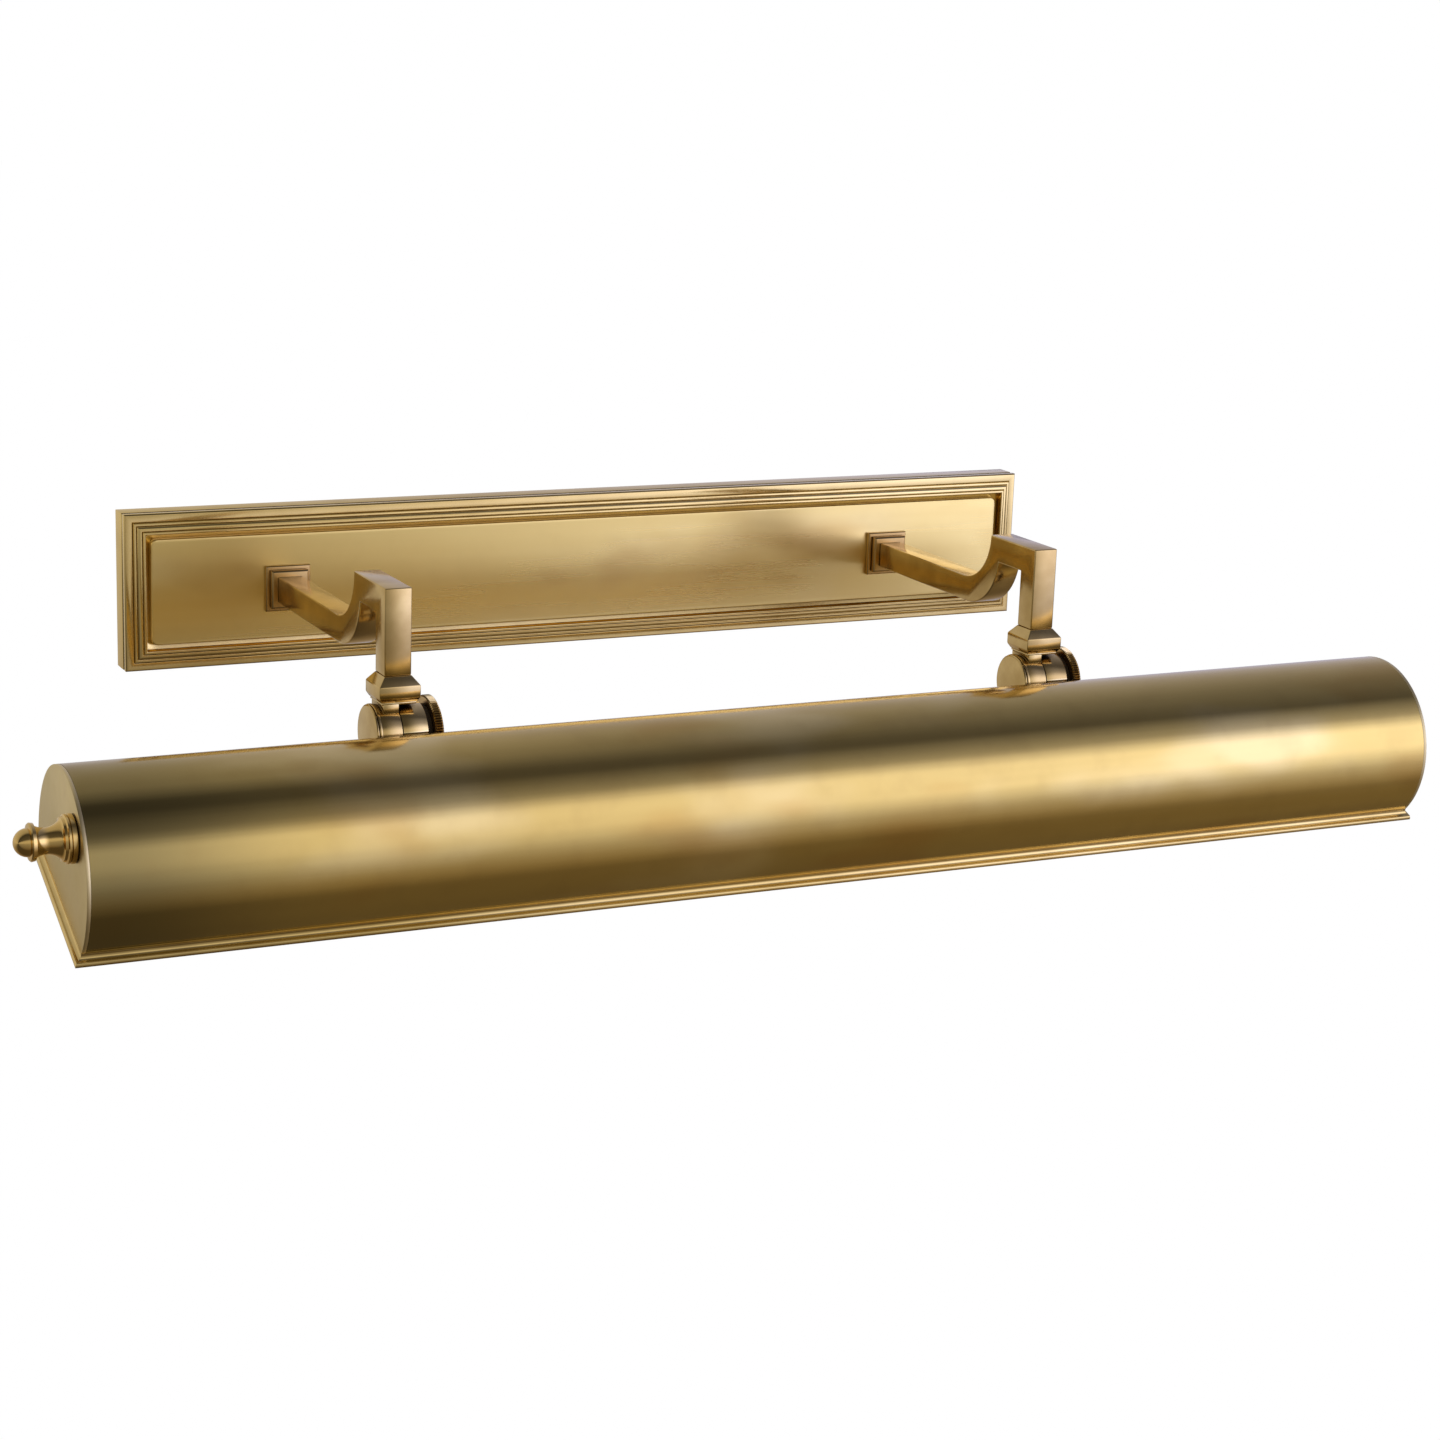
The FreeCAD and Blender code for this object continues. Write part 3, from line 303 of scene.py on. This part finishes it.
def aged_brass(name, tone, shade_tone, roughness, grain, grain_depth, recess=0.0, wear_and_sheen=0.0,
               cloud_size=9.0, recess_reach=0.0045, streaky=0.25, patches=0.0, probes=8,
               spotty=0.16, painted_end_shade=0.0):
    """Hand-rubbed brass: cloudy tone, fine rubbing marks, darker hollows and lighter edges.

    tone and shade_tone are the two brass colours and grain stretches the rubbing marks. recess and the next
    argument set how far hollows are darkened (brass patinated there, and painted shade) and edges lightened
    (polish, and painted highlight); patches and spotty set the staining, and the last argument the painted shade
    towards the knob's end."""
    material, g = new_material(name)
    clouds = g.noise(cloud_size, 3.0, tuple(0.35 + 0.65 * (step > 0.5) for step in grain)).between(0.3, 0.7)
    spots = g.noise(70.0, 4.0).between(0.45, 0.75)
    rubbed = g.noise(260.0, 3.0, grain, 0.6)
    streaks = g.noise(90.0, 2.0, grain).between(0.3, 0.75)
    colour = g.blend(clouds * (1 - streaky) + streaks * streaky, shade_tone, tone)
    if patches:
        pale = g.noise(24.0, 2.0, (0.45, 1, 1), 0.5).between(0.52, 0.72) * patches
        tanned = g.noise(31.0, 2.0, (0.40, 1, 1), 0.5).between(0.55, 0.75) * patches
        colour = g.blend(pale, colour, PALE)
        colour = g.blend(tanned, colour, TAN)
    if painted_end_shade:
        # painted shade: the shade's sheet is darker towards the knob's end, which dims its highlight there
        along = g.add("ShaderNodeSeparateXYZ", inputs={0: g.add("ShaderNodeTexCoord", output="Object")})
        end_shade_mask = along.between(-0.19, -0.29) * (0.55 + 0.45 * clouds) * painted_end_shade
        colour = g.blend(end_shade_mask, colour, END_SHADE_TONE)
    colour = g.blend(spots * spotty, colour, SPOT)
    rough = roughness + (1 - clouds) * 0.06 + rubbed * 0.08
    if recess:
        # painted shade and patinated brass: darker where the piece is hemmed in by itself or by nearby parts,
        # partly the brass patinated in its hollows and partly painted shade under and between parts
        open_air = g.add("ShaderNodeAmbientOcclusion", {"samples": probes}, {"Distance": recess_reach}, output="AO")
        patina_and_shade = (1 - open_air).between(0.25, 0.8) * recess
        colour = g.blend(patina_and_shade, colour, PATINA_AND_SHADE)
        rough = rough + patina_and_shade * 0.22
    if wear_and_sheen:
        # painted highlight and polish: lighter along thin edges and ridges, partly polished by rubbing and partly
        # painted highlight
        edge = g.add("ShaderNodeAmbientOcclusion", {"samples": probes, "inside": True, "only_local": True},
                     {"Distance": EDGE_REACH}, output="AO")
        bright = (1 - edge).between(0.35, 0.8) * wear_and_sheen
        colour = g.blend(bright, colour, POLISH_AND_HIGHLIGHT)
        rough = rough - bright * 0.06
    bump = g.add("ShaderNodeBump", inputs={"Strength": grain_depth, "Distance": 0.00012, "Height": rubbed})
    g.surface("ShaderNodeBsdfPrincipled", {"Base Color": colour, "Roughness": rough, "Normal": bump,
                                           "Metallic": 1.0})
    return material


def plain_finish(name, colour, roughness, metallic=0.0, depth=0.15, variation=0.12):
    """Paint, plastic and plating: a faint uneven tone and a fine surface."""
    material, g = new_material(name)
    tone = g.noise(25.0, 3.0)
    fine = g.noise(1200.0, 2.0)
    darker = tuple(channel * (1 - variation) for channel in colour)
    mixed = g.blend(tone, darker, colour)
    bump = g.add("ShaderNodeBump", inputs={"Strength": depth, "Distance": 0.0001, "Height": fine})
    g.surface("ShaderNodeBsdfPrincipled", {"Base Color": mixed, "Roughness": roughness + fine * 0.08,
                                           "Normal": bump, "Metallic": metallic})
    return material


# the shade's sheet carries painted shade towards the knob's end
shade_brass = aged_brass("shade brass", (0.84, 0.63, 0.21), (0.66, 0.48, 0.15), 0.07, ALONG_X, 0.16,
                         patches=0.5, spotty=0.10, painted_end_shade=0.8)
# the moulding's ridges get lighter lines: partly polish, partly painted highlight where curved ridges would catch
# the light
plate_brass = aged_brass("plate brass", (0.97, 0.76, 0.34), (0.84, 0.62, 0.24), 0.08, EVEN, 0.03,
                         recess=1.0, wear_and_sheen=0.8, recess_reach=0.0028, streaky=0.0, probes=20)
# the rim's cove under the shell is darkened deep into it: mostly painted shade from the shell above
rim_brass = aged_brass("rim brass", (0.97, 0.75, 0.34), (0.82, 0.60, 0.22), 0.08, EVEN, 0.03,
                       recess=2.2, wear_and_sheen=0.6, recess_reach=0.007, streaky=0.0, probes=16)
panel_brass = aged_brass("panel brass", (0.98, 0.79, 0.33), (0.88, 0.65, 0.23), 0.22, ALONG_X, 0.015,
                         patches=0.4, spotty=0.04, streaky=0.25)
arm_brass = aged_brass("arm brass", (0.82, 0.62, 0.29), (0.62, 0.44, 0.18), 0.08, EVEN, 0.06,
                       recess=1.0, wear_and_sheen=0.9, cloud_size=45.0)
dark_brass = aged_brass("dark brass", (0.66, 0.45, 0.19), (0.50, 0.32, 0.12), 0.14, EVEN, 0.06,
                        recess=1.0, wear_and_sheen=0.9, cloud_size=40.0, recess_reach=0.0012)
end_brass = aged_brass("end plate brass", (0.90, 0.76, 0.44), (0.78, 0.65, 0.34), 0.34, EVEN, 0.15,
                       cloud_size=35.0, streaky=0.1)
knob_brass = aged_brass("knob brass", (0.92, 0.68, 0.28), (0.80, 0.54, 0.18), 0.05, (0.1, 1, 1), 0.05,
                        recess=0.9, cloud_size=60.0)
steel = plain_finish("plated steel", (0.60, 0.60, 0.58), 0.32, metallic=1.0)
enamel = plain_finish("white enamel", (0.86, 0.86, 0.83), 0.38, variation=0.04)
fibre = plain_finish("black fibre", (0.055, 0.036, 0.018), 0.75, variation=0.4, depth=0.4)
black_plastic = plain_finish("black plastic", (0.022, 0.022, 0.022), 0.42, depth=0.25)
white_plastic = plain_finish("white plastic", (0.78, 0.77, 0.70), 0.40, variation=0.05)
cap_metal = plain_finish("lamp cap metal", (0.70, 0.70, 0.68), 0.25, metallic=1.0)


def lamp_glass():
    material, g = new_material("lamp glass")
    fine = g.noise(60.0, 2.0)
    g.surface("ShaderNodeBsdfPrincipled", {
        "Base Color": g.blend(fine, (0.93, 0.93, 0.91), (0.97, 0.97, 0.95)), "Roughness": 0.12 + fine * 0.06,
        "Alpha": 0.35 + fine * 0.05, "Metallic": 0.0})
    return material


glass = lamp_glass()


# ---------------------------------------------------------------- backplate

def make_backplate():
    """The moulding and web as one: from the web's front, out over the ridge and bead, round to the back."""
    profile = [(12.4, 25.9), (16.7, 25.9), (17.0, 26.2), (17.0, 27.1), (15.9, 27.4), (16.4, 27.6), (16.4, 28.1),
               (14.8, 29.6), (15.2, 29.9), (15.2, 30.9), (13.9, 31.2), (14.4, 31.5), (14.4, 34.4), (13.8, 35.0),
               (11.4, 35.0), (10.8, 34.4), (10.0, 34.4), (9.4, 35.0), (0.0, 35.0), (0.0, 33.4), (9.0, 33.4),
               (10.8, 32.8)]
    bm = squared([(-depth, half) for depth, half in profile], {6: ((-14.8, 28.05), -1)})
    drawn_out(bm, 190.0)
    rims = [edge for edge in bm.edges if len(edge.link_faces) == 1]
    bmesh.ops.holes_fill(bm, edges=rims, sides=0)
    eased(bm, 0.14, 2, 30, lambda edge: min(vert.co.y for vert in edge.verts) < -9)
    return finished(bm, "backplate_moulding", "fixture", plate_brass, ["backplate"])


def make_panel():
    bm = block((-213.7, -PANEL_FRONT, -23.7), (213.7, -12.4, 23.7))
    corners = [edge for edge in bm.edges if abs(edge.verts[0].co.y - edge.verts[1].co.y) > 1]
    bmesh.ops.bevel(bm, geom=corners, offset=3.0, offset_type="OFFSET", affect="EDGES", segments=8, profile=0.5,
                    material=-1)
    eased(bm, 0.7, 4, 60, lambda edge: max(vert.co.y for vert in edge.verts) < -15)
    return finished(bm, "face_plate", "fixture", panel_brass, ["face_panel"])


def make_rosette(side, sign):
    points = [(0, 0), (0, 10.3), (-1.9, 10.3), (-2.4, 9.8), (-2.4, 8.0), (-3.0, 8.0), (-3.0, 8.6), (-4.8, 8.6),
              (-5.6, 7.8), (-5.6, 0)]
    bm = eased(squared(points), 0.22, 3, 30)
    place = Matrix.Translation((sign * ARM_X, -PANEL_FRONT, ARM_LEVEL))
    return finished(bm, f"rosette_block_{side}", "fixture", dark_brass, [f"rosette_{side}"], place)


# ---------------------------------------------------------------- arms and knuckles

def make_arm(side, sign):
    """Square bar: level run, quarter bend, bridge and leg, as one side outline."""
    bottom_bend = (-105.5, 20.5)
    inner = bottom_bend[0] - math.sqrt(27.05 ** 2 - (bottom_bend[1] - 16.35) ** 2)
    points = [(-21.0, 4.95), (-101.3, 4.95), (-124.2, 27.85), (-162.75, 27.85), (-162.75, -8.4),
              (-151.25, -8.4), (-151.25, 16.35), (inner, 16.35), (-105.5, -6.55), (-21.0, -6.55)]
    bm = prism(points, -5.75, 5.75, {1: ((-101.3, 27.85), -1), 7: (bottom_bend, 1)}, steps=24)
    eased(bm, 0.6, 3, 30)
    return finished(bm, f"arm_bar_{side}", "fixture", arm_brass, [f"arm_{side}"],
                    Matrix.Translation((sign * ARM_X, 0, 0)))


def make_collar(side, sign):
    points = [(-19.0, 0), (-19.0, 7.6), (-17.0, 8.8), (-12.2, 8.8), (-8.4, 5.8), (-8.4, 0)]
    bm = eased(squared(points), 0.35, 3, 20)
    # squared pieces are made about Y: this one stands up
    place = Matrix.Translation((sign * ARM_X, KNUCKLE.y, 0)) @ Matrix.Rotation(math.pi / 2, 4, "X")
    return finished(bm, f"collar_block_{side}", "fixture", arm_brass, [f"collar_{side}"], place)


def make_knuckle(side, sign):
    """The two half barrels and the bolt's cap."""
    fixed = put_together(
        eased(turned([(-8.6, BOLT_HOLE), (-8.6, BARREL), (0, BARREL), (0, BOLT_HOLE)]), 0.25, 2, 30),
        eased(block((-7.3, -7.3, 14.0), (7.3, 7.3, 14.9)), 0.2),
        eased(block((-6.7, -7.3, 7.8), (-0.05, 7.3, 14.4)), 0.3))
    finished(fixed, f"fixed_knuckle_{side}", "fixture", arm_brass, [f"knuckle_fixed_{side}"],
             knuckle_place(sign))
    sag = math.sqrt(SHADE_RADIUS ** 2 - 10.5 ** 2)
    foot = [(-SHADE_REACH + sag, -10.5), (-SHADE_REACH + sag, 10.5), (-8, 9.0), (-8, -9.0)]
    moving = put_together(
        eased(turned([(0.3, 3.95), (0.3, BARREL), (11.0, BARREL), (11.0, 3.95)]), 0.25, 2, 30),
        eased(prism(foot, 0.3, 11.0, {0: ((-SHADE_REACH, 0), 1)}, steps=10), 0.25, 2, 30))
    finished(moving, f"moving_knuckle_{side}", "shade", arm_brass, [f"knuckle_moving_{side}"],
             knuckle_place(sign, FOOT_TURN))
    cap = [(-10.9, 0), (-10.9, 12.4), (-10.5, 12.9), (-10.0, 12.9), (-10.0, 12.3), (-9.7, 12.3), (-9.7, 13.2),
           (-8.6, 13.2), (-8.6, BOLT_HOLE), (16.4, BOLT_HOLE), (16.4, 0)]
    finished(eased(turned(cap), 0.15, 2, 30), f"bolt_cap_{side}", "fixture", arm_brass,
             [f"pivot_bolt_{side}"], knuckle_place(sign))


def make_nut(side, sign):
    """A ring with straight teeth round its rim and a plain bevel on each side."""
    teeth = 84
    valley = 0.935
    rings = [(13.35, 3.95, False), (13.35, 14.3, False), (13.85, 15.1, True), (16.5, 15.1, True),
             (17.0, 14.3, False), (17.0, 3.95, False)]
    bm = bmesh.new()
    loops = []
    for along, radius, toothed in rings:
        place = Matrix.Translation((along, 0, 0)) @ Matrix.Rotation(math.pi / 2, 4, "Y")
        made = bmesh.ops.create_circle(bm, segments=teeth * 2, radius=radius, matrix=place)
        if toothed:
            for vert in made["verts"][::2]:
                vert.co.y *= valley
                vert.co.z *= valley
        ring = set(made["verts"])
        loops.append([edge for edge in bm.edges if ring.issuperset(edge.verts)])
    for first, second in zip(loops, loops[1:] + loops[:1]):
        bmesh.ops.bridge_loops(bm, edges=first + second)
    return finished(bm, f"clamp_nut_{side}", f"nut_{side}", dark_brass, [f"knurled_nut_{side}"],
                    knuckle_place(sign), smooth=20)


# ---------------------------------------------------------------- shade

def chord_half(radius, height=CHORD):
    return math.sqrt(radius ** 2 - height ** 2)


def make_shell():
    inner = SHADE_RADIUS - 1.0
    edge = chord_half(SHADE_RADIUS)
    lip = chord_half(inner)
    bm = prism([(edge, CHORD), (-edge, CHORD), (-lip, CHORD), (lip, CHORD)], -SEAM, SEAM,
               {0: ((0, 0), 1), 2: ((0, 0), -1)}, steps=128)
    return finished(bm, "shade_sheet", "shade", shade_brass, ["shade_shell"], SHADE_PLACE)


def make_end(side, sign):
    edge = chord_half(SHADE_RADIUS)
    span = sorted((sign * SEAM, sign * SHADE_HALF))
    bm = prism([(edge, CHORD), (-edge, CHORD)], *span, {0: ((0, 0), 1)}, steps=96)
    eased(bm, 0.2, 2, 30)
    return finished(bm, f"end_sheet_{side}", "shade", end_brass, [f"end_plate_{side}"], SHADE_PLACE)


def make_rim():
    """Mitred frame round the shade's mouth: bead, cove and square lip."""
    edge = chord_half(SHADE_RADIUS)
    outer = edge + RIM_LIP
    inner = edge - 2.2
    points = [(0, inner), (0, edge), (0.5, edge), (2.5, outer - 0.4), (2.8, outer - 0.4), (4.0, outer),
              (4.5, outer), (4.5, inner)]
    bm = squared(points, {2: ((0.5, edge + 2.0), 1), 4: ((4.0, outer - 2.0), -1)}, ring=True, steps=8)
    drawn_out(bm, SHADE_HALF + RIM_LIP - outer)
    eased(bm, 0.1, 2, 40)
    # squared pieces are made about Y: turned so that depth runs down from the chord
    place = SHADE_PLACE @ Matrix.Translation((0, 0, CHORD)) @ Matrix.Rotation(-math.pi / 2, 4, "X")
    return finished(bm, "mouth_rim", "shade", rim_brass, ["rim_frame"], place)


# ---------------------------------------------------------------- knob

def make_knob():
    points = [(-3.3, 0.0), (-3.3, 7.6), (-0.3, 7.6), (-0.3, 9.0), (-0.7, 9.4), (-2.3, 9.4), (-2.5, 9.0),
              (-2.8, 9.3), (-3.6, 9.3), (-4.0, 8.5), (-5.0, 8.3), (-5.3, 7.25), (-14.6, 6.1), (-15.0, 7.1),
              (-16.3, 7.3), (-16.8, 6.9), (-17.1, 5.4), (-22.5, 0)]
    # the waist is one arc through the neck, whose centre stands as far out as both of its ends need
    start, end = Vector(points[11]), Vector(points[12])
    middle = (start + end) / 2
    outward = Vector((start.y - end.y, end.x - start.x)).normalized() * -6.0
    bm = turned(points, {11: (tuple(middle + outward), -1), 16: ((-17.1, 0), 1)}, around=80, steps=16)
    return finished(bm, "turned_knob", "switch_knob", knob_brass, ["switch_knob"],
                    Matrix.Translation(SWITCH), smooth=35)


make_backplate()
make_panel()
make_shell()
make_rim()
make_knob()
for side, sign in SIDES.items():
    for make in (make_rosette, make_arm, make_collar, make_knuckle, make_nut, make_end):
        make(side, sign)

CARRIED = {
    steel: ["wall_bracket", "lock_screws", "arm_nut_washers", "switch_spindle", "switch_nut", "arm_nut_*",
            "foot_screws_*", "bracket_stud_*", "lamp_bracket_*", "arm_nipple_*"],
    white_plastic: ["terminal_block"],
    knob_brass: ["earth_stud"],
    enamel: ["reflector"],
    fibre: ["clamp_washer_*"],
    black_plastic: ["switch_body", "lamp_holder_*"],
    cap_metal: ["lamp_cap_*"],
    glass: ["lamp_*"],
}
for material, names in CARRIED.items():
    for name in names:
        for each in ([name.replace("*", side) for side in SIDES] if "*" in name else [name]):
            nodes[each].data.materials.clear()
            nodes[each].data.materials.append(material)


# ---------------------------------------------------------------- studio, in metres

FLOOR_RADIUS = 30
FLOOR_DROP = 1.8
DIM_TINT, BRIGHT_TINT, FLOOR_TINT = (1.0, 0.92, 0.80), (1.10, 1.10, 1.50), (1.0, 0.78, 0.52)
CAMERA_PLACE = (-0.5478, -1.2686, 0.2694)
CAMERA_YAW, CAMERA_PITCH, CAMERA_ROLL = 26.076, -14.018, 1.979
CAMERA_LENS = 74.248

def make_floor():
    """A pale floor far below the light, so that it can be seen from underneath as well."""
    bm = bmesh.new()
    bmesh.ops.create_circle(bm, cap_ends=True, segments=96, radius=FLOOR_RADIUS,
                            matrix=Matrix.Translation((0, 0, -FLOOR_DROP)))
    mesh = bpy.data.meshes.new("studio_floor")
    bm.to_mesh(mesh)
    bm.free()
    material, g = new_material("pale floor")
    g.surface("ShaderNodeBsdfPrincipled", {
        "Base Color": (0.10, 0.10, 0.10, 1), "Roughness": 1.0, "Specular IOR Level": 0.0,
        "Emission Color": (1, 1, 1, 1), "Emission Strength": 0.97})
    mesh.materials.append(material)
    floor = bpy.data.objects.new("studio_floor", mesh)
    bpy.context.scene.collection.objects.link(floor)
    floor.visible_glossy = False
    floor.visible_diffuse = False


def make_surroundings():
    """A plain studio: one long soft box in front, brighter and cooler to the right, and a dim wall behind."""
    world = bpy.data.worlds.new("studio")
    bpy.context.scene.world = world
    world.use_nodes = True
    g = Graph(world.node_tree)
    heading = g.add("ShaderNodeTexCoord", output="Generated")
    split = g.tree.nodes.new("ShaderNodeSeparateXYZ")
    g.tree.links.new(heading.socket, split.inputs[0])
    across, away, up = (Value(g, output) for output in split.outputs)
    # turns once round the light's length: 0.5 straight ahead, 0.75 overhead, 0 and 1 behind, 0.25 below
    turn = up.maths("ARCTAN2", away * -1.0) / math.tau + 0.5
    dim_half = [(0.00, 0.60), (0.20, 0.08), (0.36, 0.08), (0.42, 0.22), (0.50, 0.32), (0.53, 0.52), (0.57, 0.58),
                (0.61, 0.10), (0.73, 0.05), (0.79, 0.38), (1.00, 0.60)]
    bright_half = [(0.00, 0.50), (0.20, 0.15), (0.36, 0.22), (0.44, 0.60), (0.51, 1.30), (0.58, 1.30), (0.63, 0.40),
                   (0.70, 0.08), (0.80, 0.18), (1.00, 0.50)]
    halves = [g.add("ShaderNodeValToRGB", {"stops": [(place, (level, level, level)) for place, level in stops]},
                    {"Fac": turn}) for stops in (dim_half, bright_half)]
    level = g.blend(across.between(0.0, 0.6), *halves)
    tint = g.blend(across.between(0.0, 0.6), DIM_TINT, BRIGHT_TINT)
    tint = g.blend(up.between(-0.75, -0.15), FLOOR_TINT, tint)
    colour = g.add("ShaderNodeMix", {"data_type": "RGBA", "blend_type": "MULTIPLY"}, {0: 1.0, 6: level, 7: tint},
                   output=2)
    lit = g.add("ShaderNodeBackground", inputs={"Color": colour, "Strength": 1.0})
    blank = g.add("ShaderNodeBackground", inputs={"Color": (1, 1, 1, 1), "Strength": 1.0})
    seen = g.add("ShaderNodeLightPath", output="Is Camera Ray")
    shown = g.add("ShaderNodeMixShader", inputs={0: seen, 1: lit, 2: blank})
    g.add("ShaderNodeOutputWorld", inputs={"Surface": shown})


def make_camera():
    """Stands left of the light and a little above it."""
    yaw, pitch, roll = (math.radians(angle) for angle in (CAMERA_YAW, CAMERA_PITCH, CAMERA_ROLL))
    ahead = Vector((math.sin(yaw) * math.cos(pitch), math.cos(yaw) * math.cos(pitch), math.sin(pitch)))
    level = ahead.cross(Vector((0, 0, 1))).normalized()
    upright = level.cross(ahead)
    right = level * math.cos(roll) + upright * math.sin(roll)
    top = upright * math.cos(roll) - level * math.sin(roll)
    data = bpy.data.cameras.new("camera")
    data.sensor_width = 36.0
    data.lens = CAMERA_LENS
    data.clip_end = 100.0
    camera = bpy.data.objects.new("camera", data)
    bpy.context.scene.collection.objects.link(camera)
    turn = Matrix((right, top, -ahead)).transposed().to_4x4()
    camera.matrix_world = Matrix.Translation(CAMERA_PLACE) @ turn
    bpy.context.scene.camera = camera


make_floor()
make_surroundings()
make_camera()
bpy.context.scene.view_settings.view_transform = "Standard"
